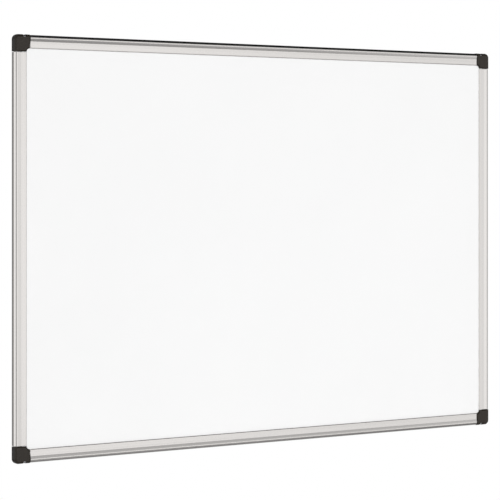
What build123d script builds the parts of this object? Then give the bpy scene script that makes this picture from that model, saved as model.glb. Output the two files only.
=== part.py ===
"""Framed magnetic whiteboard: a laminated panel in four aluminium rails, joined by corner keys under pull-off covers.

Millimetres. The board hangs upright with its writing side towards -Y. Y = 0 is the wall plane, +X is to the right as
the board is read, +Z is up, and the origin is the middle of the four wall holes. Depths are counted from the wall.
"""

import os

from build123d import *

# Board, over the outer faces of the rails
board_width = 350.0
board_height = 250.0

# Laminated panel
sheet_thickness = 0.35
core_thickness = 1.7
backing_thickness = 0.25
panel_side_gap = 0.3
panel_rear_gap = 0.1
notch_margin = 0.1

# Rail extrusion
rail_width = 8.0
rail_wall = 0.7
rail_outer_radius = 1.2
ridge_width = 0.9
slope_width = 1.9
band_drop = 0.4
lip_thickness = 0.7
lip_radius = 0.5
chamber_width = 3.1
chamber_web = 0.7

# Corner cover
cover_reach = 10.1
cover_proud = 0.2
cover_wall = 1.0
cover_corner_radius = 3.0
cover_edge_radius = 1.6
cover_end_chamfer = 0.45
cover_foot_gap = 0.3
peg_length = 2.0
peg_span = 2.0
peg_width = 1.2
peg_chamfer = 0.25
peg_setback = 1.5
slot_place = 6.7

# Corner key
hub_thickness = 1.5
wall_hole_radius = 1.6
wall_hole_inset = 4.5
screw_head_room = 2.95
shoulder_start = 5.6
tongue_length = 12.0
tongue_chamfer = 0.4
rib_width = 1.8
rib_sink = 0.2
rib_setback = 0.5
rib_land = 0.2

# Frame screws, two to a rail
screw_place = 6.0
screw_length = 2.6
screw_head_radius = 1.5
screw_shank_radius = 0.9
recess_width = 0.45
recess_span = 1.6
recess_depth = 0.4

# Clearances
body_gap = 0.3
slide_gap = 0.1
push_fit = 0.05

# Depths that follow from the stack in the rail's channel
panel_rear = rail_wall + panel_rear_gap
core_rear = panel_rear + backing_thickness
sheet_rear = core_rear + core_thickness
sheet_front = sheet_rear + sheet_thickness
band_front = sheet_front + lip_thickness
frame_depth = band_front + band_drop
chamber_front = band_front - rail_wall

# Distances inwards from a rail's outer face
chamber_inner = rail_wall + chamber_width
channel_start = chamber_inner + chamber_web
panel_inset = channel_start + panel_side_gap
panel_notch = rail_width + notch_margin
cover_inner_face = cover_wall - cover_proud
key_face = cover_inner_face + body_gap
hub_reach = panel_notch - panel_side_gap
rail_start = cover_reach - cover_proud + body_gap
tongue_outer = max(key_face, rail_wall + push_fit)
chamber_middle = (rail_wall + chamber_inner) / 2
peg_across = (key_face + channel_start) / 2
peg_along = rail_start - peg_setback

# Measures of the whole board
half_width = board_width / 2
half_height = board_height / 2
cover_x = half_width + cover_proud
cover_z = half_height + cover_proud
cover_front = frame_depth + cover_proud
cover_ceiling = sheet_front + body_gap
slot_x = cover_x - slot_place
rib_front = cover_front - rib_setback
rib_height = key_face + cover_proud - rib_sink
peg_tip = cover_ceiling - peg_length
socket_depth = sheet_front - peg_tip + body_gap
long_rail = board_width - 2 * rail_start
short_rail = board_height - 2 * rail_start

# The wall plane, from which sketches grow towards the reader
board_plane = Plane.XZ

os.makedirs("parts", exist_ok=True)


def save(part, name):
    part.label = name
    export_step(part, f"parts/{name}.step")


def corner_rectangle(along_start, along_end, across_start, across_end):
    """A rectangle at the top right corner, its sides counted inwards from the outer faces of the rails."""
    middle = (half_width - (along_start + along_end) / 2, half_height - (across_start + across_end) / 2)
    with Locations(middle):
        Rectangle(along_end - along_start, across_end - across_start)


def peg_rectangles(clearance):
    """Sections of the cover's two flat pegs, one along each rail, grown all round by a clearance."""
    span = peg_span + 2 * clearance
    width = peg_width + 2 * clearance
    corner_rectangle(peg_along - span / 2, peg_along + span / 2, peg_across - width / 2, peg_across + width / 2)
    corner_rectangle(peg_across - width / 2, peg_across + width / 2, peg_along - span / 2, peg_along + span / 2)


def drill_for_screws(points, depth):
    """Countersunk holes from behind, a little wider than the frame screws."""
    with Locations([Plane(origin=point, x_dir=(-1, 0, 0), z_dir=(0, 1, 0)) for point in points]):
        CounterSinkHole(screw_shank_radius + push_fit, screw_head_radius + push_fit, depth, 90)


def round_outermost(sketch, radius):
    """Rounds the vertex of a corner outline that lies at the board's own corner."""
    fillet(sketch.vertices().sort_by_distance((board_width, board_height, 0))[0], radius)


# Section of a rail: x runs inwards from the outer face, y from the wall to the front. From the ridge along the outer
# edge the face slopes down to the flat band beside the sheet.
ridge_end = rail_outer_radius + ridge_width
with BuildSketch() as rail_section:
    with BuildLine():
        outer_side = Line((0, 0), (0, frame_depth - rail_outer_radius))
        rounding = TangentArc(outer_side @ 1, (rail_outer_radius, frame_depth), tangent=(0, 1))
        ridge = Line(rounding @ 1, (ridge_end, frame_depth))
        slope = Line(ridge @ 1, (ridge_end + slope_width, band_front))
        band = Line(slope @ 1, (rail_width - lip_radius, band_front))
        lip = TangentArc(band @ 1, (rail_width, band_front - lip_radius), tangent=(1, 0))
        Polyline(
            lip @ 1,
            (rail_width, sheet_front),
            (channel_start, sheet_front),
            (channel_start, rail_wall),
            (rail_width, rail_wall),
            (rail_width, 0),
            (0, 0),
        )
    make_face()
    with Locations((chamber_middle, (rail_wall + chamber_front) / 2)):
        Rectangle(chamber_width, chamber_front - rail_wall, mode=Mode.SUBTRACT)

# Writing sheet, core and backing, laminated, each notched at its corners to clear the keys
layers = {
    "backing_sheet": (panel_rear, backing_thickness),
    "core_board": (core_rear, core_thickness),
    "writing_sheet": (sheet_rear, sheet_thickness),
}
for name, (rear, thickness) in layers.items():
    with BuildPart() as layer:
        with BuildSketch(board_plane.offset(rear)):
            Rectangle(board_width - 2 * panel_inset, board_height - 2 * panel_inset)
            with GridLocations(board_width - 2 * panel_inset, board_height - 2 * panel_inset, 2, 2):
                notch = 2 * (panel_notch - panel_inset)
                Rectangle(notch, notch, mode=Mode.SUBTRACT)
        extrude(amount=thickness)
    save(layer.part, name)

# Rails, cut square, each with two countersunk holes in its rear wall
screw_from_end = screw_place + rail_start
rails = {
    "top_rail": ((0, 0, half_height), (0, 0, -1), long_rail),
    "bottom_rail": ((0, 0, -half_height), (0, 0, 1), long_rail),
    "left_rail": ((-half_width, 0, 0), (1, 0, 0), short_rail),
    "right_rail": ((half_width, 0, 0), (-1, 0, 0), short_rail),
}
screw_points = []
for name, (face_middle, inwards, length) in rails.items():
    along = Vector(inwards).cross(Vector(0, -1, 0))
    row_middle = Vector(face_middle) + Vector(inwards) * chamber_middle
    half_row = length / 2 - screw_place
    ends = [row_middle + along * half_row, row_middle - along * half_row]
    screw_points += ends
    with BuildPart() as rail:
        with BuildSketch(Plane(origin=face_middle, x_dir=inwards, z_dir=along)):
            add(rail_section.sketch)
        extrude(amount=length / 2, both=True)
        drill_for_screws(ends, rail_wall + push_fit)
    save(rail.part, name)

# Corner key of the top right corner: base plate, hub, two shoulders, a locating rib and two tongues
with BuildPart() as key:
    with BuildSketch(board_plane) as base:
        corner_rectangle(key_face, rail_start, key_face, rail_start)
        round_outermost(base, cover_corner_radius - cover_wall - body_gap)
        with Locations((half_width - rail_start, half_height - rail_start)):
            Circle(rail_start - rail_width, mode=Mode.SUBTRACT)
    extrude(amount=rail_wall)
    with BuildSketch(board_plane) as hub:
        corner_rectangle(key_face, hub_reach, key_face, hub_reach)
        round_outermost(hub, cover_corner_radius - cover_wall - body_gap)
    extrude(amount=hub_thickness)
    with BuildSketch(board_plane):
        corner_rectangle(shoulder_start, rail_start, key_face, channel_start)
        corner_rectangle(key_face, channel_start, shoulder_start, rail_start)
    extrude(amount=sheet_front)
    with BuildSketch(Plane.YZ.offset(slot_x)) as rib:
        with Locations((-rib_front / 2, half_height - key_face + rib_height / 2)):
            Rectangle(rib_front, rib_height)
        fillet(rib.vertices().sort_by_distance((-cover_front, cover_z))[0], rib_height - rib_land)
    extrude(amount=rib_width / 2, both=True)
    tongue_end = rail_start + tongue_length
    tongue_inner = chamber_inner - push_fit
    with BuildSketch(board_plane.offset(rail_wall + push_fit)):
        corner_rectangle(rail_start, tongue_end, tongue_outer, tongue_inner)
        corner_rectangle(tongue_outer, tongue_inner, rail_start, tongue_end)
    extrude(amount=chamber_front - rail_wall - 2 * push_fit)
    tongue_tips = key.faces().sort_by(Axis.X)[0].edges() + key.faces().sort_by(Axis.Z)[0].edges()
    chamfer(tongue_tips, tongue_chamfer)
    hole_centre = (half_width - wall_hole_inset, half_height - wall_hole_inset)
    with BuildSketch(board_plane.offset(hub_thickness)):
        with Locations(hole_centre):
            Circle(screw_head_room)
    extrude(amount=sheet_front, mode=Mode.SUBTRACT)
    with BuildSketch(board_plane):
        with Locations(hole_centre):
            Circle(wall_hole_radius)
    extrude(amount=hub_thickness, mode=Mode.SUBTRACT)
    with BuildSketch(board_plane.offset(sheet_front)):
        peg_rectangles(push_fit)
    extrude(amount=-socket_depth, mode=Mode.SUBTRACT)
    screw_centres = [
        (half_width - screw_from_end, 0, half_height - chamber_middle),
        (half_width - chamber_middle, 0, half_height - screw_from_end),
    ]
    drill_for_screws(screw_centres, screw_length + push_fit)

# Corner cover of the top right corner: a hood with a bitten inner corner, two flat pegs and a slot for the rib
with BuildPart() as cover:
    bite_centre = (cover_x - cover_reach, cover_z - cover_reach)
    with BuildSketch(board_plane.offset(cover_foot_gap)) as outline:
        corner_rectangle(-cover_proud, cover_reach - cover_proud, -cover_proud, cover_reach - cover_proud)
        round_outermost(outline, cover_corner_radius)
        with Locations(bite_centre):
            Circle(cover_reach - cover_proud - rail_width, mode=Mode.SUBTRACT)
    extrude(amount=cover_front - cover_foot_gap)
    bite_point = board_plane.offset(cover_front).from_local_coords(bite_centre)
    fillet(cover.faces().sort_by(Axis.Y)[0].edges().sort_by_distance(bite_point)[3:], cover_edge_radius)
    chamfer(cover.faces().sort_by(Axis.Y)[0].edges().sort_by_distance(bite_point)[:3], cover_end_chamfer)
    with BuildSketch(board_plane.offset(cover_foot_gap)) as hollow:
        corner_rectangle(cover_inner_face, cover_reach, cover_inner_face, cover_reach)
        round_outermost(hollow, cover_corner_radius - cover_wall)
    extrude(amount=cover_ceiling - cover_foot_gap, mode=Mode.SUBTRACT)
    with BuildSketch(board_plane.offset(cover_ceiling)):
        peg_rectangles(0)
    extrude(amount=-peg_length)
    chamfer(cover.edges().filter_by_position(Axis.Y, -peg_tip, -peg_tip), peg_chamfer)
    with BuildSketch(board_plane):
        with Locations((slot_x, cover_z)):
            Rectangle(rib_width + 2 * slide_gap, 2 * (cover_proud + key_face + slide_gap))
    extrude(amount=cover_front, mode=Mode.SUBTRACT)

# The other three corners mirror the first
corners = {
    "top_right": (),
    "top_left": (Plane.YZ,),
    "bottom_right": (Plane.XY,),
    "bottom_left": (Plane.YZ, Plane.XY),
}
for corner, mirror_planes in corners.items():
    for name, first in {"corner_key": key, "corner_cover": cover}.items():
        with BuildPart() as piece:
            add(first.part)
            for mirror_plane in mirror_planes:
                mirror(about=mirror_plane, mode=Mode.REPLACE)
        save(piece.part, f"{name}_{corner}")

# Countersunk self-tapping screws, driven from behind through the rails into the tongues
with BuildPart() as screw:
    with BuildSketch():
        with BuildLine():
            Polyline(
                (0, 0),
                (screw_head_radius, 0),
                (screw_shank_radius, screw_shank_radius - screw_head_radius),
                (screw_shank_radius, -screw_length),
                (0, -screw_length),
                close=True,
            )
        make_face()
    revolve(axis=Axis.Y)
    with BuildSketch(board_plane):
        Rectangle(recess_span, recess_width)
        Rectangle(recess_width, recess_span)
    extrude(amount=recess_depth, mode=Mode.SUBTRACT)
with BuildPart() as frame_screws:
    with Locations(screw_points):
        add(screw.part)
save(frame_screws.part, "frame_screws")
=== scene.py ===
"""Magnetic whiteboard with an aluminium frame: its detailed pieces, its finishes and its studio.

Metres. The writing side faces -Y, Y = 0 is the wall plane, +X is to the reader's right and +Z is up.
"""

import math

import bmesh
import bpy
from bpy.props import FloatProperty, FloatVectorProperty, PointerProperty
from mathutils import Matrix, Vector


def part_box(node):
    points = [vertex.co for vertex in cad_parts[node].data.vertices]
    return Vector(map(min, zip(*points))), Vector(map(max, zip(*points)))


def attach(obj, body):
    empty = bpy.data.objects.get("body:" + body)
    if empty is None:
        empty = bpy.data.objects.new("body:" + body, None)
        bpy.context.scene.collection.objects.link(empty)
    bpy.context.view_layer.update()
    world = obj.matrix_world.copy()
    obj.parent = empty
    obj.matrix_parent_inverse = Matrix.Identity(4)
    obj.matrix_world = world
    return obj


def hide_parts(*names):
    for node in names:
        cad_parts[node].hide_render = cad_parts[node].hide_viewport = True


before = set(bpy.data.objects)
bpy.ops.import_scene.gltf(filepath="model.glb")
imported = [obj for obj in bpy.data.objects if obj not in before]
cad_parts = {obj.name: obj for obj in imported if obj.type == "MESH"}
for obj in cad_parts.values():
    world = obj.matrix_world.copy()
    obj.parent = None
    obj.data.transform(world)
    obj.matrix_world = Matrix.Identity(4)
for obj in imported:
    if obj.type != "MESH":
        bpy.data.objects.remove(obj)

bl_info = {
    "name": "Magnetic Whiteboard",
    "version": (1, 0, 0),
    "blender": (4, 5, 0),
    "location": "3D View > Sidebar > Whiteboard",
    "description": "Makes the rails, covers, keys, screws and finishes of a framed magnetic whiteboard",
    "category": "Object",
}

MM = 0.001
SAME_PLACE = 0.002 * MM
MERGE_WITHIN = 0.001 * MM
QUARTER_TURN = math.radians(90)
SHARP_ANGLE = math.radians(38)
SMOOTH_ANGLE = math.radians(35)
FLAT_ANGLE = math.radians(1)
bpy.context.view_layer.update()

# Places read from the solids, as depths from the wall and distances from the middle of the board
TOP_LOW, TOP_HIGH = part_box("top_rail")
SIDE_LOW, SIDE_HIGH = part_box("right_rail")
COVER_LOW, COVER_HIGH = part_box("corner_cover_top_right")
SHEET_LOW, SHEET_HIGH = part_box("writing_sheet")
HALF_WIDTH = SIDE_HIGH.x
HALF_HEIGHT = TOP_HIGH.z
FRAME_DEPTH = -TOP_LOW.y
SHEET_FRONT = -SHEET_LOW.y
COVER_FRONT = -COVER_LOW.y
RAIL_START = HALF_WIDTH - TOP_HIGH.x
CORNERS = {
    "top_right": (1, 1),
    "top_left": (-1, 1),
    "bottom_right": (1, -1),
    "bottom_left": (-1, -1),
}


def length_size(name, description, default):
    return FloatProperty(
        name=name,
        description=description,
        default=default,
        min=0.0,
        precision=5,
        subtype="DISTANCE",
        unit="LENGTH",
    )


def position(name, description, default):
    return FloatVectorProperty(
        name=name, description=description, default=default, subtype="TRANSLATION", unit="LENGTH"
    )


def colour(name, description, default):
    return FloatVectorProperty(
        name=name, description=description, default=default, min=0.0, max=1.0, subtype="COLOR"
    )


def share(name, description, default):
    return FloatProperty(
        name=name, description=description, default=default, min=0.0, max=1.0, subtype="FACTOR"
    )


def watts(name, description, default):
    return FloatProperty(
        name=name, description=description, default=default, min=0.0, subtype="POWER", unit="POWER"
    )


class RailSizes(bpy.types.PropertyGroup):
    """Section of the aluminium rail, measured inwards from its outer face"""

    wall: length_size("Wall", "Thickness of the rail's walls", 0.7 * MM)
    outer_radius: length_size("Outer radius", "Rounding of the outer front edge", 1.65 * MM)
    ridge_width: length_size("Ridge width", "Flat strip beside the rounding", 0.45 * MM)
    slope_width: length_size("Slope width", "Width of the slope from the ridge down to the band", 1.9 * MM)
    band_drop: length_size("Band drop", "How far the flat band lies behind the ridge", 0.4 * MM)
    lip_radius: length_size("Lip radius", "Rounding of the lip over the writing sheet", 0.5 * MM)
    chamber_width: length_size("Chamber width", "Width of the hollow that takes the key's tongue", 3.1 * MM)
    chamber_web: length_size("Chamber web", "Web between the chamber and the panel's channel", 0.7 * MM)
    edge_break: length_size("Edge break", "Softening of the extruded and sawn edges", 0.1 * MM)


class CoverSizes(bpy.types.PropertyGroup):
    """Sizes of the pull-off corner cover"""

    proud: length_size("Proud", "How far the cover stands over the rails", COVER_HIGH.x - HALF_WIDTH)
    wall: length_size("Wall", "Thickness of the side walls", 1.0 * MM)
    corner_radius: length_size("Corner radius", "Outer corner seen from the front", 3.0 * MM)
    edge_radius: length_size("Edge radius", "Rounding of the outer front edges", 1.6 * MM)
    end_radius: length_size("End radius", "Rounding of the front edges over the rails", 1.25 * MM)
    ceiling_gap: length_size("Ceiling gap", "Space between the sheet's plane and the cover", 0.3 * MM)
    peg_length: length_size("Peg length", "Height of the flat pegs", 2.0 * MM)
    peg_span: length_size("Peg span", "Length of a peg's section", 2.0 * MM)
    peg_width: length_size("Peg width", "Width of a peg's section", 1.2 * MM)
    peg_chamfer: length_size("Peg chamfer", "Lead-in at the tip of a peg", 0.25 * MM)
    peg_across: length_size("Peg across", "Middle of a peg from the rail's outer face", 2.8 * MM)
    peg_setback: length_size("Peg setback", "Middle of a peg from the sawn end of the rail", 1.5 * MM)
    slot_place: length_size("Slot place", "Middle of the slot from the cover's side", 6.7 * MM)
    slot_width: length_size("Slot width", "Width of the slot in the outer wall", 2.0 * MM)
    slot_inward: length_size("Slot inward", "How far the slot reaches into the cover", 1.4 * MM)
    edge_break: length_size("Edge break", "Softening of the moulded edges", 0.09 * MM)


class KeySizes(bpy.types.PropertyGroup):
    """Finish of the die-cast corner keys, whose shape comes from the solids"""

    edge_break: length_size("Edge break", "Softening of the cast edges", 0.08 * MM)


class ScrewSizes(bpy.types.PropertyGroup):
    """Sizes of the countersunk frame screws"""

    head_radius: length_size("Head radius", "Radius of the countersunk head", 1.5 * MM)
    shank_radius: length_size("Shank radius", "Radius over the thread", 0.9 * MM)
    length: length_size("Length", "Length from the head's face to the tip", 2.6 * MM)
    recess_span: length_size("Recess span", "Width over the cross recess", 1.7 * MM)
    recess_width: length_size("Recess width", "Width of the recess wings", 0.42 * MM)
    recess_depth: length_size("Recess depth", "Depth of the cross recess", 0.8 * MM)
    recess_taper: share("Recess taper", "Span at the bottom of the recess, as a share of its mouth", 0.45)
    from_end: length_size("From end", "Distance from the sawn end of the rail", 6.0 * MM)
    edge_break: length_size("Edge break", "Softening of the turned edges", 0.04 * MM)


class FinishColours(bpy.types.PropertyGroup):
    """Colours of the board's finishes"""

    lacquer: colour("Lacquer", "White dry-wipe lacquer", (0.93, 0.93, 0.93))
    anodised: colour("Anodised aluminium", "Satin natural anodising", (0.80, 0.775, 0.755))
    charcoal: colour("Charcoal plastic", "Corner covers", (0.022, 0.0175, 0.013))
    die_cast: colour("Die-cast metal", "Corner keys", (0.50, 0.50, 0.51))
    galvanised: colour("Galvanised steel", "Backing sheet", (0.60, 0.61, 0.62))
    fibreboard: colour("Fibreboard", "Core board", (0.42, 0.30, 0.19))
    zinc: colour("Zinc", "Frame screws", (0.66, 0.67, 0.68))


class StudioSettings(bpy.types.PropertyGroup):
    """Camera, lamps and backdrop"""

    camera_place: position(
        "Camera place", "Where the photograph was taken from", (-0.64645, -1.03192, 0.04191)
    )
    camera_turn: FloatProperty(
        name="Camera turn",
        description="Heading of the level camera, to the right of straight at the board",
        default=math.radians(31.585),
        subtype="ANGLE",
        unit="ROTATION",
    )
    lens: FloatProperty(
        name="Lens", description="Focal length on a 36 mm sensor, in millimetres", default=139.08, min=1.0
    )
    shift_up: FloatProperty(
        name="Shift", description="Vertical shift, as a share of the frame", default=-0.1459
    )
    floor_drop: length_size("Floor drop", "Height of the board's middle over the floor", 0.45)
    floor_radius: length_size("Floor radius", "Radius of the pale floor", 1.0)
    fade_start: share("Fade start", "Where the floor begins to fade, as a share of its radius", 0.45)
    fade_end: share("Fade end", "Where the floor has faded away, as a share of its radius", 0.98)
    tent_radius: length_size("Tent radius", "Radius of the light tent that the metal mirrors", 4.0)
    soft_light: share("Soft light", "Level of the light from all round", 0.28)
    key_place: position("Key place", "Where the front lamp hangs", (0.1, -2.2, 0.5))
    key_size: length_size("Key size", "Side of the square front lamp", 1.4)
    key_power: watts("Key power", "Power of the front lamp", 38.0)
    back_place: position("Back place", "Where the rear lamp hangs", (0.9, 1.5, 1.0))
    back_size: length_size("Back size", "Side of the square rear lamp", 1.0)
    back_power: watts("Back power", "Power of the rear lamp", 30.0)


# Selecting and shaping


def deselect_all():
    if bpy.context.mode != "OBJECT":
        bpy.ops.object.mode_set(mode="OBJECT")
    bpy.ops.object.select_all(action="DESELECT")


def pick(piece):
    """Selects one piece alone and makes it the active one."""
    deselect_all()
    piece.select_set(True)
    bpy.context.view_layer.objects.active = piece


def edit(piece):
    pick(piece)
    bpy.ops.object.mode_set(mode="EDIT")


def leave_edit():
    bpy.ops.object.mode_set(mode="OBJECT")


def select_in_edit(kind, wanted):
    """Selects what is wanted in edit mode: a vertex or a face by its point, an edge by its two ends."""
    bpy.ops.mesh.select_mode(type=kind)
    bpy.ops.mesh.select_all(action="DESELECT")
    mesh = bpy.context.edit_object.data
    shape = bmesh.from_edit_mesh(mesh)
    if kind == "VERT":
        chosen = [vertex for vertex in shape.verts if wanted(vertex.co)]
    elif kind == "EDGE":
        chosen = [edge for edge in shape.edges if wanted(edge.verts[0].co, edge.verts[1].co)]
    else:
        chosen = [face for face in shape.faces if wanted(face.calc_center_median())]
    for element in chosen:
        element.select_set(True)
    shape.select_flush_mode()
    bmesh.update_edit_mesh(mesh)


def near(value, *others):
    """Whether the other values are all at the first one's place."""
    return all(abs(value - other) < SAME_PLACE for other in others)


def new_box(name, low, high):
    """A box from its lowest to its highest corner, with its place in its mesh."""
    deselect_all()
    middle = (Vector(low) + Vector(high)) / 2
    bpy.ops.mesh.primitive_cube_add(size=1, location=middle)
    box = bpy.context.object
    box.name = box.data.name = name
    box.scale = Vector(high) - Vector(low)
    bpy.ops.object.transform_apply(location=True, rotation=True, scale=True)
    return box


def apply_modifiers(piece):
    pick(piece)
    for modifier in list(piece.modifiers):
        bpy.ops.object.modifier_apply(modifier=modifier.name)


def combine(piece, tool, operation):
    """Cuts the tool out of the piece or fuses it on, and removes the tool."""
    boolean = piece.modifiers.new(operation.lower(), "BOOLEAN")
    boolean.operation = operation
    boolean.solver = "EXACT"
    boolean.object = tool
    apply_modifiers(piece)
    bpy.data.objects.remove(tool)


def soften(piece, width):
    """Breaks the sharp edges by a small width and shades the curves smooth, the flats flat."""
    bevel = piece.modifiers.new("edge_break", "BEVEL")
    bevel.width = width
    bevel.segments = 2
    bevel.limit_method = "ANGLE"
    bevel.angle_limit = SHARP_ANGLE
    bevel.use_clamp_overlap = True
    apply_modifiers(piece)
    bpy.ops.object.shade_smooth_by_angle(angle=SMOOTH_ANGLE)
    flats = piece.modifiers.new("flat_faces", "WEIGHTED_NORMAL")
    flats.weight = 100
    flats.keep_sharp = True
    apply_modifiers(piece)


def face_outwards(piece):
    edit(piece)
    bpy.ops.mesh.select_all(action="SELECT")
    bpy.ops.mesh.remove_doubles(threshold=MERGE_WITHIN)
    bpy.ops.mesh.normals_make_consistent(inside=False)
    leave_edit()


def own_copy(piece, name):
    """A copy with its own mesh."""
    pick(piece)
    bpy.ops.object.duplicate()
    copy = bpy.context.object
    copy.name = copy.data.name = name
    return copy


def finish_piece(piece, body, slot, material, *nodes):
    """Gives a piece its finish and its body, and hides the solids that it stands for."""
    piece.data.materials.clear()
    piece.data.materials.append(material)
    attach(piece, body)
    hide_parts(*nodes)


def refinish(node, material):
    """Gives a solid whose shape stays a better finish."""
    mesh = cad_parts[node].data
    mesh.materials.clear()
    mesh.materials.append(material)


# Finishes


class Finish:
    """A material under construction, on Object coordinates."""

    def __init__(self, name, base_colour, roughness, metallic=0.0):
        self.material = bpy.data.materials.new(name)
        self.material.use_nodes = True
        self.tree = self.material.node_tree
        self.shader = self.tree.nodes["Principled BSDF"]
        self.shader.inputs["Base Color"].default_value = (*base_colour, 1)
        self.shader.inputs["Roughness"].default_value = roughness
        self.shader.inputs["Metallic"].default_value = metallic
        self.base_colour = base_colour
        self.coordinates = self.tree.nodes.new("ShaderNodeTexCoord").outputs["Object"]

    def link(self, output, socket):
        self.tree.links.new(output, socket)

    def stretched(self, stretch):
        """Object coordinates, multiplied along each axis."""
        mapping = self.tree.nodes.new("ShaderNodeMapping")
        mapping.inputs["Scale"].default_value = stretch
        self.link(self.coordinates, mapping.inputs["Vector"])
        return mapping.outputs["Vector"]

    def noise(self, per_metre, detail, stretch=(1, 1, 1)):
        """Soft noise with so many features to the metre and so many octaves of detail."""
        noise = self.tree.nodes.new("ShaderNodeTexNoise")
        noise.inputs["Scale"].default_value = per_metre
        noise.inputs["Detail"].default_value = detail
        self.link(self.stretched(stretch), noise.inputs["Vector"])
        return noise.outputs["Fac"]

    def cells(self, per_metre):
        """Cells of random greys, so many to the metre."""
        cells = self.tree.nodes.new("ShaderNodeTexVoronoi")
        cells.inputs["Scale"].default_value = per_metre
        self.link(self.stretched((1, 1, 1)), cells.inputs["Vector"])
        grey = self.tree.nodes.new("ShaderNodeSeparateColor")
        self.link(cells.outputs["Color"], grey.inputs["Color"])
        return grey.outputs["Red"]

    def spread(self, pattern, low, high):
        """A pattern of 0.3 to 0.7, spread over a range of values."""
        spread = self.tree.nodes.new("ShaderNodeMapRange")
        spread.inputs["From Min"].default_value = 0.3
        spread.inputs["From Max"].default_value = 0.7
        spread.inputs["To Min"].default_value = low
        spread.inputs["To Max"].default_value = high
        self.link(pattern, spread.inputs["Value"])
        return spread.outputs["Result"]

    def vary_colour(self, pattern, darker, lighter, tint=(1, 1, 1)):
        """Colours the surface from darker to lighter shares of its base colour."""
        mix = self.tree.nodes.new("ShaderNodeMix")
        mix.data_type = "RGBA"
        darkest = [channel * darker for channel in self.base_colour]
        lightest = [min(1, channel * lighter * tone) for channel, tone in zip(self.base_colour, tint)]
        mix.inputs["A"].default_value = (*darkest, 1)
        mix.inputs["B"].default_value = (*lightest, 1)
        self.link(self.spread(pattern, 0, 1), mix.inputs["Factor"])
        self.link(mix.outputs["Result"], self.shader.inputs["Base Color"])

    def vary_roughness(self, pattern, low, high):
        self.link(self.spread(pattern, low, high), self.shader.inputs["Roughness"])

    def bump(self, pattern, distance, strength):
        """Raises the surface by the pattern; further calls add finer relief."""
        bump = self.tree.nodes.new("ShaderNodeBump")
        bump.inputs["Distance"].default_value = distance
        bump.inputs["Strength"].default_value = strength
        self.link(pattern, bump.inputs["Height"])
        normal = self.shader.inputs["Normal"]
        if normal.is_linked:
            self.link(normal.links[0].from_socket, bump.inputs["Normal"])
        self.link(bump.outputs["Normal"], normal)


def white_lacquer(colours):
    """Baked gloss lacquer with a trace of orange peel."""
    finish = Finish("white_lacquer", colours.lacquer, 0.16)
    finish.vary_colour(finish.noise(14, 3), 0.993, 1.004)
    finish.vary_roughness(finish.noise(60, 4), 0.13, 0.20)
    finish.bump(finish.noise(420, 2), 0.004 * MM, 0.5)
    return finish.material


def anodised_aluminium(name, colours, stretch):
    """Satin anodising over the fine die lines of the extrusion, which run along the rail."""
    finish = Finish(name, colours.anodised, 0.14, metallic=1.0)
    lines = finish.noise(2600, 3, stretch)
    finish.vary_colour(finish.noise(900, 2, stretch), 0.975, 1.015)
    finish.vary_roughness(lines, 0.11, 0.18)
    finish.bump(lines, 0.003 * MM, 0.5)
    finish.bump(finish.noise(9000, 1), 0.001 * MM, 0.5)
    return finish.material


def charcoal_plastic(colours):
    """Moulded plastic with a fine eroded texture and a low sheen."""
    finish = Finish("charcoal_plastic", colours.charcoal, 0.2)
    finish.shader.inputs["Specular IOR Level"].default_value = 0.36
    finish.vary_colour(finish.noise(700, 4), 0.86, 1.14, tint=(1.0, 1.0, 1.02))
    finish.vary_roughness(finish.noise(1500, 3), 0.22, 0.28)
    finish.bump(finish.noise(5200, 3), 0.012 * MM, 0.5)
    return finish.material


def die_cast_metal(colours):
    """As-cast metal of the corner keys, with a dull uneven skin."""
    finish = Finish("die_cast_metal", colours.die_cast, 0.36, metallic=1.0)
    finish.vary_colour(finish.noise(300, 3), 0.92, 1.05)
    finish.vary_roughness(finish.noise(900, 3), 0.3, 0.46)
    finish.bump(finish.noise(3500, 2), 0.012 * MM, 0.4)
    return finish.material


def galvanised_steel(colours):
    """Zinc spangle under faint rolling lines."""
    finish = Finish("galvanised_steel", colours.galvanised, 0.4, metallic=1.0)
    spangle = finish.cells(350)
    finish.vary_colour(spangle, 0.96, 1.03)
    finish.vary_roughness(spangle, 0.37, 0.43)
    finish.bump(finish.noise(500, 3, (0.15, 1, 1)), 0.01 * MM, 0.4)
    return finish.material


def raw_fibreboard(colours):
    """Pressed fibres, with darker flecks."""
    finish = Finish("fibreboard", colours.fibreboard, 0.85)
    finish.vary_colour(finish.noise(1800, 5, (1, 3, 1)), 0.7, 1.25)
    finish.bump(finish.noise(2500, 4), 0.05 * MM, 0.6)
    return finish.material


def zinc_plate(colours):
    """Bright zinc with a brushed bloom."""
    finish = Finish("zinc_plate", colours.zinc, 0.25, metallic=1.0)
    finish.vary_colour(finish.noise(1200, 3), 0.94, 1.05)
    finish.vary_roughness(finish.noise(2500, 3), 0.2, 0.36)
    return finish.material


# Rails


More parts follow.
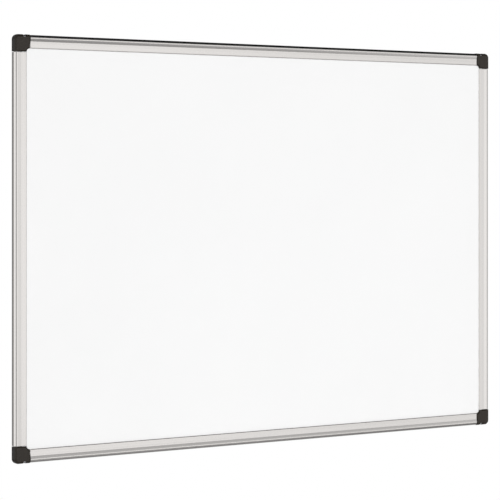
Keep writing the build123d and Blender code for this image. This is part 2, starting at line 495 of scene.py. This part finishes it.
def draw_section(name, outer_face, start_x, rail):
    """The rail's section as a flat mesh across the top rail's left end."""
    deselect_all()
    width = TOP_HIGH.z - TOP_LOW.z
    middle = (start_x, -FRAME_DEPTH / 2, outer_face - width / 2)
    bpy.ops.mesh.primitive_plane_add(size=1, location=middle, rotation=(0, QUARTER_TURN, 0))
    section = bpy.context.object
    section.name = section.data.name = name
    section.scale = (width, FRAME_DEPTH, 1)
    bpy.ops.object.transform_apply(location=True, rotation=True, scale=True)
    edit(section)

    def across(point):
        return outer_face - point.z

    def depth(point):
        return -point.y

    def cut_across(place, wanted):
        select_in_edit("FACE", wanted)
        bpy.ops.mesh.bisect(plane_co=(0, 0, outer_face - place), plane_no=(0, 0, 1))

    def cut_depth(place, wanted):
        select_in_edit("FACE", wanted)
        bpy.ops.mesh.bisect(plane_co=(0, -place, 0), plane_no=(0, 1, 0))

    def clear(wanted):
        select_in_edit("FACE", wanted)
        bpy.ops.mesh.delete(type="FACE")

    def select_on_front(place):
        select_in_edit(
            "VERT", lambda point: near(place, across(point)) and near(FRAME_DEPTH, depth(point))
        )

    for place, radius, segments in ((0, rail.outer_radius, 10), (width, rail.lip_radius, 5)):
        select_on_front(place)
        bpy.ops.mesh.bevel(offset=radius, segments=segments, affect="VERTICES")

    # The open channel for the panel, then the closed chamber for the keys' tongues
    chamber_end = rail.wall + rail.chamber_width
    channel_start = chamber_end + rail.chamber_web
    chamber_front = FRAME_DEPTH - rail.band_drop - rail.wall

    def over_channel(point):
        return across(point) > channel_start

    def beside_channel(point):
        return across(point) < channel_start

    def over_chamber(point):
        return rail.wall < across(point) < chamber_end

    cut_across(channel_start, lambda point: True)
    cut_depth(rail.wall, over_channel)
    cut_depth(SHEET_FRONT, over_channel)
    clear(lambda point: over_channel(point) and rail.wall < depth(point) < SHEET_FRONT)
    cut_across(rail.wall, beside_channel)
    cut_across(chamber_end, beside_channel)
    cut_depth(rail.wall, over_chamber)
    cut_depth(chamber_front, over_chamber)
    clear(lambda point: over_chamber(point) and rail.wall < depth(point) < chamber_front)

    # The slope from the ridge to the band, with its two creases softened
    ridge_end = rail.outer_radius + rail.ridge_width
    band_start = ridge_end + rail.slope_width
    creases = [crease + side * rail.edge_break for crease in (ridge_end, band_start) for side in (-1, 1)]

    def in_front_wall(point):
        return depth(point) > FRAME_DEPTH / 3 and across(point) < width - rail.lip_radius

    for place in creases:
        cut_across(place, in_front_wall)
    for place in (*creases, chamber_end):
        share_down = min(1, max(0, (place - ridge_end) / rail.slope_width))
        select_on_front(place)
        bpy.ops.transform.translate(value=(0, rail.band_drop * share_down, 0))

    # The rest of the band and the lip, in front of the sheet
    past_slope = band_start + 1.5 * rail.edge_break
    past_sheet = SHEET_FRONT + MM / 10
    select_in_edit("VERT", lambda point: across(point) > past_slope and depth(point) > past_sheet)
    bpy.ops.transform.translate(value=(0, rail.band_drop, 0))
    return section


def extruded_rail(name, outer_face, length, turn, rail):
    """A rail drawn as the top one and extruded, then turned about the middle of the board."""
    piece = draw_section(name, outer_face, -length / 2, rail)
    bpy.ops.mesh.select_all(action="SELECT")
    bpy.ops.mesh.extrude_region_move(TRANSFORM_OT_translate={"value": (length, 0, 0)})
    bpy.ops.mesh.select_all(action="SELECT")
    bpy.ops.transform.rotate(value=turn, orient_axis="Y", center_override=(0, 0, 0))
    leave_edit()
    face_outwards(piece)
    soften(piece, rail.edge_break)
    return piece


class WHITEBOARD_OT_make_rails(bpy.types.Operator):
    """Extrude the four aluminium rails and anodise them"""

    bl_idname = "whiteboard.make_rails"
    bl_label = "Make Rails"

    def execute(self, context):
        rail = context.scene.whiteboard_rail
        colours = context.scene.whiteboard_colours
        long_rail = TOP_HIGH.x - TOP_LOW.x
        short_rail = SIDE_HIGH.z - SIDE_LOW.z
        along_x = anodised_aluminium("anodised_along_x", colours, (0.002, 1, 1))
        along_z = anodised_aluminium("anodised_along_z", colours, (1, 1, 0.002))
        rails = {
            "top_rail": (HALF_HEIGHT, long_rail, 0, along_x),
            "bottom_rail": (HALF_HEIGHT, long_rail, 2 * QUARTER_TURN, along_x),
            "left_rail": (HALF_WIDTH, short_rail, QUARTER_TURN, along_z),
            "right_rail": (HALF_WIDTH, short_rail, -QUARTER_TURN, along_z),
        }
        for node, (outer_face, length, turn, material) in rails.items():
            piece = extruded_rail(f"{node}_extrusion", outer_face, length, turn, rail)
            finish_piece(piece, "frame", "anodised_rail", material, node)
        return {"FINISHED"}


# Covers


def round_upright_edge(box, x, z, radius):
    """Rounds the edge of a box that runs from the wall to the front at a place."""
    edit(box)
    select_in_edit("EDGE", lambda start, end: near(x, start.x, end.x) and near(z, start.z, end.z))
    bpy.ops.mesh.bevel(offset=radius, segments=14, affect="EDGES")
    leave_edit()


def mould_cover(cover):
    """The top right cover: a hood with a bitten inner corner, a slot and two flat pegs."""
    hood = new_box("cover_hood", COVER_LOW, COVER_HIGH)
    round_upright_edge(hood, COVER_HIGH.x, COVER_HIGH.z, cover.corner_radius)

    # The bite lets the corner of the writing sheet show in full
    bite_radius = COVER_HIGH.x - COVER_LOW.x - cover.proud - (TOP_HIGH.z - TOP_LOW.z)
    deselect_all()
    bpy.ops.mesh.primitive_cylinder_add(
        vertices=96,
        radius=bite_radius,
        depth=4 * COVER_FRONT,
        location=(COVER_LOW.x, -COVER_FRONT / 2, COVER_LOW.z),
        rotation=(QUARTER_TURN, 0, 0),
    )
    combine(hood, bpy.context.object, "DIFFERENCE")

    # Front edges: a wide rounding outside, a smaller one over the rails and round the bite
    def on_front(start, end):
        return near(COVER_LOW.y, start.y, end.y)

    def over_rail(start, end):
        middle = (start + end) / 2
        in_bite = math.hypot(middle.x - COVER_LOW.x, middle.z - COVER_LOW.z) < bite_radius + MM / 2
        return near(COVER_LOW.x, start.x, end.x) or near(COVER_LOW.z, start.z, end.z) or in_bite

    edit(hood)
    select_in_edit("EDGE", lambda start, end: on_front(start, end) and not over_rail(start, end))
    bpy.ops.mesh.bevel(offset=cover.edge_radius, segments=8, affect="EDGES")
    select_in_edit("EDGE", lambda start, end: on_front(start, end) and over_rail(start, end))
    bpy.ops.mesh.bevel(offset=cover.end_radius, segments=5, affect="EDGES")
    leave_edit()

    # Hollow, open to the wall and over the rails
    ceiling = SHEET_FRONT + cover.ceiling_gap
    inner_x = COVER_HIGH.x - cover.wall
    inner_z = COVER_HIGH.z - cover.wall
    hollow = new_box(
        "cover_hollow", (COVER_LOW.x - MM, -ceiling, COVER_LOW.z - MM), (inner_x, MM, inner_z)
    )
    round_upright_edge(hollow, inner_x, inner_z, cover.corner_radius - cover.wall)
    combine(hood, hollow, "DIFFERENCE")

    slot_x = COVER_HIGH.x - cover.slot_place
    slot = new_box(
        "cover_slot",
        (slot_x - cover.slot_width / 2, -COVER_FRONT - MM, COVER_HIGH.z - cover.slot_inward),
        (slot_x + cover.slot_width / 2, MM, COVER_HIGH.z + MM),
    )
    combine(hood, slot, "DIFFERENCE")

    # One flat peg past the sawn end of each rail
    peg_along = RAIL_START - cover.peg_setback
    peg_tip = cover.peg_length - ceiling
    for from_side, from_top, size_x, size_z in (
        (peg_along, cover.peg_across, cover.peg_span, cover.peg_width),
        (cover.peg_across, peg_along, cover.peg_width, cover.peg_span),
    ):
        middle_x = HALF_WIDTH - from_side
        middle_z = HALF_HEIGHT - from_top
        peg = new_box(
            "cover_peg",
            (middle_x - size_x / 2, -ceiling - cover.wall / 2, middle_z - size_z / 2),
            (middle_x + size_x / 2, peg_tip, middle_z + size_z / 2),
        )
        edit(peg)
        select_in_edit("EDGE", lambda start, end: near(peg_tip, start.y, end.y))
        bpy.ops.mesh.bevel(offset=cover.peg_chamfer, segments=1, affect="EDGES")
        leave_edit()
        combine(hood, peg, "UNION")

    return hood


class WHITEBOARD_OT_make_covers(bpy.types.Operator):
    """Mould the four corner covers"""

    bl_idname = "whiteboard.make_covers"
    bl_label = "Make Covers"

    def execute(self, context):
        cover = context.scene.whiteboard_cover
        hood = mould_cover(cover)
        material = charcoal_plastic(context.scene.whiteboard_colours)
        for corner, (side, height) in CORNERS.items():
            piece = own_copy(hood, f"corner_cover_{corner}_moulding")
            edit(piece)
            bpy.ops.mesh.select_all(action="SELECT")
            bpy.ops.transform.resize(value=(side, 1, height), center_override=(0, 0, 0))
            leave_edit()
            face_outwards(piece)
            soften(piece, cover.edge_break)
            finish_piece(piece, f"cover_{corner}", "charcoal_plastic", material, f"corner_cover_{corner}")
        bpy.data.objects.remove(hood)
        return {"FINISHED"}


# Keys, screws and panel


def softened_copy(node, name, width):
    """A copy of a solid's mesh, merged into whole faces, with softened edges."""
    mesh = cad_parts[node].data.copy()
    mesh.name = name
    piece = bpy.data.objects.new(name, mesh)
    bpy.context.scene.collection.objects.link(piece)
    edit(piece)
    bpy.ops.mesh.select_all(action="SELECT")
    bpy.ops.mesh.remove_doubles(threshold=MERGE_WITHIN)
    bpy.ops.mesh.dissolve_limited(angle_limit=FLAT_ANGLE)
    leave_edit()
    soften(piece, width)
    return piece


class WHITEBOARD_OT_make_keys(bpy.types.Operator):
    """Soften the edges of the four corner keys, as casting does"""

    bl_idname = "whiteboard.make_keys"
    bl_label = "Make Keys"

    def execute(self, context):
        material = die_cast_metal(context.scene.whiteboard_colours)
        edge_break = context.scene.whiteboard_key.edge_break
        for corner in CORNERS:
            piece = softened_copy(f"corner_key_{corner}", f"corner_key_{corner}_casting", edge_break)
            finish_piece(piece, "frame", "die_cast_key", material, f"corner_key_{corner}")
        return {"FINISHED"}


def turn_screw(screw):
    """One countersunk screw with a cross recess, its head in the wall plane at the origin."""
    deselect_all()
    bpy.ops.mesh.primitive_cylinder_add(
        vertices=48,
        radius=screw.shank_radius,
        depth=screw.length,
        location=(0, -screw.length / 2, 0),
        rotation=(QUARTER_TURN, 0, 0),
    )
    piece = bpy.context.object
    piece.name = piece.data.name = "frame_screw"
    bpy.ops.object.transform_apply(location=True, rotation=True, scale=True)
    edit(piece)
    cone_depth = screw.head_radius - screw.shank_radius
    bpy.ops.mesh.select_all(action="SELECT")
    bpy.ops.mesh.bisect(plane_co=(0, -cone_depth, 0), plane_no=(0, 1, 0))
    select_in_edit("VERT", lambda point: near(point.y, 0))
    widen = screw.head_radius / screw.shank_radius
    bpy.ops.transform.resize(value=(widen, 1, widen), center_override=(0, 0, 0))
    select_in_edit("EDGE", lambda start, end: near(-screw.length, start.y, end.y))
    tip_rounding = screw.shank_radius / 3
    bpy.ops.mesh.bevel(offset=tip_rounding, segments=2, affect="EDGES")
    leave_edit()
    for size_x, size_z, taper in (
        (screw.recess_span, screw.recess_width, (screw.recess_taper, 1, 1)),
        (screw.recess_width, screw.recess_span, (1, 1, screw.recess_taper)),
    ):
        low = (-size_x / 2, -screw.recess_depth, -size_z / 2)
        wing = new_box("recess_wing", low, (size_x / 2, MM, size_z / 2))
        edit(wing)
        select_in_edit("VERT", lambda point: near(point.y, -screw.recess_depth))
        bpy.ops.transform.resize(value=taper, center_override=(0, 0, 0))
        leave_edit()
        combine(piece, wing, "DIFFERENCE")
    face_outwards(piece)
    soften(piece, screw.edge_break)
    return piece


class WHITEBOARD_OT_make_screws(bpy.types.Operator):
    """Turn the eight frame screws and drive them into the back of the rails"""

    bl_idname = "whiteboard.make_screws"
    bl_label = "Make Screws"

    def execute(self, context):
        rail = context.scene.whiteboard_rail
        sizes = context.scene.whiteboard_screw
        screw = turn_screw(sizes)
        row = rail.wall + rail.chamber_width / 2
        in_long_rail = (TOP_HIGH.x - sizes.from_end, HALF_HEIGHT - row)
        in_short_rail = (HALF_WIDTH - row, SIDE_HIGH.z - sizes.from_end)
        places = [
            (side * x, height * z)
            for x, z in (in_long_rail, in_short_rail)
            for side, height in CORNERS.values()
        ]
        copies = []
        for x, z in places:
            copy = own_copy(screw, "frame_screw_copy")
            edit(copy)
            bpy.ops.mesh.select_all(action="SELECT")
            bpy.ops.transform.translate(value=(x, 0, z))
            leave_edit()
            copies.append(copy)
        bpy.data.objects.remove(screw)
        deselect_all()
        for copy in copies:
            copy.select_set(True)
        bpy.context.view_layer.objects.active = copies[0]
        bpy.ops.object.join()
        piece = bpy.context.object
        piece.name = piece.data.name = "frame_screws_plated"
        material = zinc_plate(context.scene.whiteboard_colours)
        finish_piece(piece, "frame", "zinc_screw", material, "frame_screws")
        return {"FINISHED"}


class WHITEBOARD_OT_finish_panel(bpy.types.Operator):
    """Finish the writing sheet, the core and the backing"""

    bl_idname = "whiteboard.finish_panel"
    bl_label = "Finish Panel"

    def execute(self, context):
        colours = context.scene.whiteboard_colours
        refinish("writing_sheet", white_lacquer(colours))
        refinish("core_board", raw_fibreboard(colours))
        refinish("backing_sheet", galvanised_steel(colours))
        return {"FINISHED"}


# Studio


def lamp(name, place, size, power):
    """A soft square lamp aimed at the middle of the board, not mirrored in metal."""
    light = bpy.data.lights.new(name, "AREA")
    light.size = size
    light.energy = power
    lamp_object = bpy.data.objects.new(name, light)
    bpy.context.scene.collection.objects.link(lamp_object)
    lamp_object.location = place
    lamp_object.rotation_euler = (-Vector(place)).to_track_quat("-Z", "Y").to_euler()
    lamp_object.visible_glossy = False


def ramp(tree, value, stops):
    """A grey that changes with a value of 0 to 1, through (value, grey) stops."""
    ramp_node = tree.nodes.new("ShaderNodeValToRGB")
    tree.links.new(value, ramp_node.inputs["Fac"])
    points = ramp_node.color_ramp.elements
    points.remove(points[1])
    first_grey = stops[0][1]
    points[0].position = 0
    points[0].color = (first_grey, first_grey, first_grey, 1)
    for place, grey in stops:
        points.new(place).color = (grey, grey, grey, 1)
    return ramp_node.outputs["Color"]


def ramp_by_heading(tree, turn, stops):
    """A grey by heading in degrees, where the turn goes from 0 at -180 to 1 at 180."""
    return ramp(tree, turn, [(0.5 + angle / 360, grey) for angle, grey in stops])


def ramp_by_elevation(tree, height, stops):
    """A grey by elevation in degrees, where the height goes from 0 at the lowest point to 1."""
    return ramp(tree, height, [(0.5 + 0.5 * math.sin(math.radians(angle)), grey) for angle, grey in stops])


def calculate(tree, operation, *values):
    """A maths node on numbers or outputs."""
    node = tree.nodes.new("ShaderNodeMath")
    node.operation = operation
    for socket, value in zip(node.inputs, values):
        if isinstance(value, (int, float)):
            socket.default_value = value
        else:
            tree.links.new(value, socket)
    return node.outputs["Value"]


def mix_shaders(tree, factor, first, second):
    """The first shader where the factor is 0, and the second where it is 1."""
    mix = tree.nodes.new("ShaderNodeMixShader")
    tree.links.new(factor, mix.inputs["Fac"])
    tree.links.new(first, mix.inputs[1])
    tree.links.new(second, mix.inputs[2])
    return mix.outputs["Shader"]


def tent_glow(radius):
    """White light round the horizon, with grey flags above, below and to the sides."""
    material = bpy.data.materials.new("light_tent")
    material.use_nodes = True
    tree = material.node_tree
    tree.nodes.remove(tree.nodes["Principled BSDF"])
    place = tree.nodes.new("ShaderNodeTexCoord").outputs["Object"]
    axes = tree.nodes.new("ShaderNodeSeparateXYZ")
    tree.links.new(place, axes.inputs["Vector"])
    height = calculate(tree, "MULTIPLY_ADD", axes.outputs["Z"], 0.5 / radius, 0.5)
    forwards = calculate(tree, "MULTIPLY", axes.outputs["Y"], -1.0)
    heading = calculate(tree, "ARCTAN2", axes.outputs["X"], forwards)
    turn = calculate(tree, "MULTIPLY_ADD", heading, 0.5 / math.pi, 0.5)
    by_heading = [
        (-170, 0.8),
        (-162, 0.25),
        (-144, 0.25),
        (-140, 1.0),
        (-42, 1.0),
        (-37, 0.25),
        (-17, 0.25),
        (-11, 0.8),
        (5, 0.8),
        (11, 1.0),
        (27, 1.0),
        (37, 0.88),
        (47, 0.95),
        (58, 0.04),
        (72, 0.04),
        (80, 0.8),
    ]
    # Each flag's grey by elevation, and the least that it leaves of the light by heading
    low_flag = (
        [(-62, 0.08), (-54, 0.4), (-34, 0.5), (-28, 0.27), (-14, 0.27), (-11.5, 1.0)],
        [(-172, 0.5), (-166, 0.0), (-138, 0.0), (-132, 0.5), (0, 0.5), (7, 0.0), (60, 0.0), (68, 0.5)],
    )
    high_flag = (
        [(8, 1.0), (10, 0.42), (16, 0.42), (20, 0.03)],
        [(0, 0.5), (7, 0.0), (168, 0.0), (174, 0.5)],
    )
    level = ramp_by_heading(tree, turn, by_heading)
    for by_elevation, least_by_heading in (low_flag, high_flag):
        shade = ramp_by_elevation(tree, height, by_elevation)
        least = ramp_by_heading(tree, turn, least_by_heading)
        level = calculate(tree, "MULTIPLY", level, calculate(tree, "MAXIMUM", shade, least))
    glow = tree.nodes.new("ShaderNodeEmission")
    tree.links.new(level, glow.inputs["Color"])
    tree.links.new(glow.outputs["Emission"], tree.nodes["Material Output"].inputs["Surface"])
    return material


def hang_light_tent(radius):
    """A tent that only reflections see."""
    deselect_all()
    bpy.ops.mesh.primitive_uv_sphere_add(segments=64, ring_count=32, radius=radius)
    tent = bpy.context.object
    tent.name = tent.data.name = "light_tent"
    tent.data.materials.append(tent_glow(radius))
    tent.visible_camera = False
    tent.visible_diffuse = False
    tent.visible_transmission = False
    tent.visible_shadow = False


def white_background(tree, strength):
    background = tree.nodes.new("ShaderNodeBackground")
    background.inputs["Color"].default_value = (1, 1, 1, 1)
    background.inputs["Strength"].default_value = strength
    return background.outputs["Background"]


def light_world(soft_light):
    """White to the camera, in reflections and through clear things, and softer as a light."""
    world = bpy.data.worlds.new("studio")
    bpy.context.scene.world = world
    world.cycles.sampling_method = "NONE"
    world.use_nodes = True
    tree = world.node_tree
    tree.nodes.clear()
    rays = tree.nodes.new("ShaderNodeLightPath").outputs
    seen = rays["Is Camera Ray"]
    for kind in ("Is Glossy Ray", "Is Transmission Ray"):
        seen = calculate(tree, "MAXIMUM", seen, rays[kind])
    light = white_background(tree, soft_light)
    backdrop = white_background(tree, 1.0)
    output = tree.nodes.new("ShaderNodeOutputWorld")
    tree.links.new(mix_shaders(tree, seen, light, backdrop), output.inputs["Surface"])


def pale_floor(fade_start, fade_end):
    """A dull pale grey that turns clear between two distances from the middle."""
    material = bpy.data.materials.new("pale_floor")
    material.use_nodes = True
    tree = material.node_tree
    shader = tree.nodes["Principled BSDF"]
    shader.inputs["Base Color"].default_value = (0.9, 0.9, 0.9, 1)
    shader.inputs["Roughness"].default_value = 0.9
    shader.inputs["Specular IOR Level"].default_value = 0.0
    coordinates = tree.nodes.new("ShaderNodeTexCoord")
    flat = tree.nodes.new("ShaderNodeVectorMath")
    flat.operation = "MULTIPLY"
    flat.inputs[1].default_value = (1, 1, 0)
    tree.links.new(coordinates.outputs["Object"], flat.inputs[0])
    distance = tree.nodes.new("ShaderNodeVectorMath")
    distance.operation = "LENGTH"
    tree.links.new(flat.outputs["Vector"], distance.inputs[0])
    fade = tree.nodes.new("ShaderNodeMapRange")
    fade.interpolation_type = "SMOOTHSTEP"
    fade.inputs["From Min"].default_value = fade_start
    fade.inputs["From Max"].default_value = fade_end
    tree.links.new(distance.outputs["Value"], fade.inputs["Value"])
    clear = tree.nodes.new("ShaderNodeBsdfTransparent")
    surface = mix_shaders(tree, fade.outputs["Result"], shader.outputs["BSDF"], clear.outputs["BSDF"])
    tree.links.new(surface, tree.nodes["Material Output"].inputs["Surface"])
    return material


def lay_floor(studio):
    """A pale floor that fades into the white backdrop before its rim."""
    deselect_all()
    radius = studio.floor_radius
    bpy.ops.mesh.primitive_circle_add(
        vertices=128, radius=radius, fill_type="NGON", location=(0, 0, -studio.floor_drop)
    )
    floor = bpy.context.object
    floor.name = floor.data.name = "floor"
    bpy.ops.object.transform_apply(location=True, rotation=True, scale=True)
    floor.data.materials.append(pale_floor(radius * studio.fade_start, radius * studio.fade_end))
    floor.visible_glossy = False


def place_camera(studio):
    """The level camera of the photograph, with its view shifted down."""
    camera_data = bpy.data.cameras.new("photo_camera")
    camera_data.lens = studio.lens
    camera_data.sensor_width = 36
    camera_data.shift_y = studio.shift_up
    camera_data.clip_start = 0.01
    camera = bpy.data.objects.new("photo_camera", camera_data)
    bpy.context.scene.collection.objects.link(camera)
    camera.location = studio.camera_place
    camera.rotation_euler = (QUARTER_TURN, 0, -studio.camera_turn)
    bpy.context.scene.camera = camera


class WHITEBOARD_OT_set_stage(bpy.types.Operator):
    """Set up the camera, the soft lamps, the light tent and the pale floor"""

    bl_idname = "whiteboard.set_stage"
    bl_label = "Set Stage"

    def execute(self, context):
        studio = context.scene.whiteboard_studio
        context.scene.view_settings.view_transform = "Standard"
        light_world(studio.soft_light)
        lay_floor(studio)
        place_camera(studio)
        lamp("key_lamp", studio.key_place, studio.key_size, studio.key_power)
        lamp("back_lamp", studio.back_place, studio.back_size, studio.back_power)
        hang_light_tent(studio.tent_radius)
        return {"FINISHED"}


class WHITEBOARD_PT_maker(bpy.types.Panel):
    """Lists the pieces of the whiteboard"""

    bl_idname = "WHITEBOARD_PT_maker"
    bl_label = "Magnetic Whiteboard"
    bl_space_type = "VIEW_3D"
    bl_region_type = "UI"
    bl_category = "Whiteboard"

    def draw(self, context):
        layout = self.layout
        for operator in OPERATORS:
            layout.operator(operator.bl_idname)
        for group in GROUPS:
            settings = getattr(context.scene, group)
            layout.separator()
            for name in settings.__annotations__:
                layout.prop(settings, name)


OPERATORS = (
    WHITEBOARD_OT_finish_panel,
    WHITEBOARD_OT_make_rails,
    WHITEBOARD_OT_make_keys,
    WHITEBOARD_OT_make_covers,
    WHITEBOARD_OT_make_screws,
    WHITEBOARD_OT_set_stage,
)
GROUPS = {
    "whiteboard_rail": RailSizes,
    "whiteboard_cover": CoverSizes,
    "whiteboard_key": KeySizes,
    "whiteboard_screw": ScrewSizes,
    "whiteboard_colours": FinishColours,
    "whiteboard_studio": StudioSettings,
}


def register():
    for group in GROUPS.values():
        bpy.utils.register_class(group)
    for operator in OPERATORS:
        bpy.utils.register_class(operator)
    bpy.utils.register_class(WHITEBOARD_PT_maker)
    for name, group in GROUPS.items():
        setattr(bpy.types.Scene, name, PointerProperty(type=group))


def unregister():
    for name in GROUPS:
        delattr(bpy.types.Scene, name)
    bpy.utils.unregister_class(WHITEBOARD_PT_maker)
    for operator in reversed(OPERATORS):
        bpy.utils.unregister_class(operator)
    for group in reversed(GROUPS.values()):
        bpy.utils.unregister_class(group)


def main():
    register()
    bpy.ops.whiteboard.finish_panel()
    bpy.ops.whiteboard.make_rails()
    bpy.ops.whiteboard.make_keys()
    bpy.ops.whiteboard.make_covers()
    bpy.ops.whiteboard.make_screws()
    bpy.ops.whiteboard.set_stage()


if __name__ == "__main__":
    main()
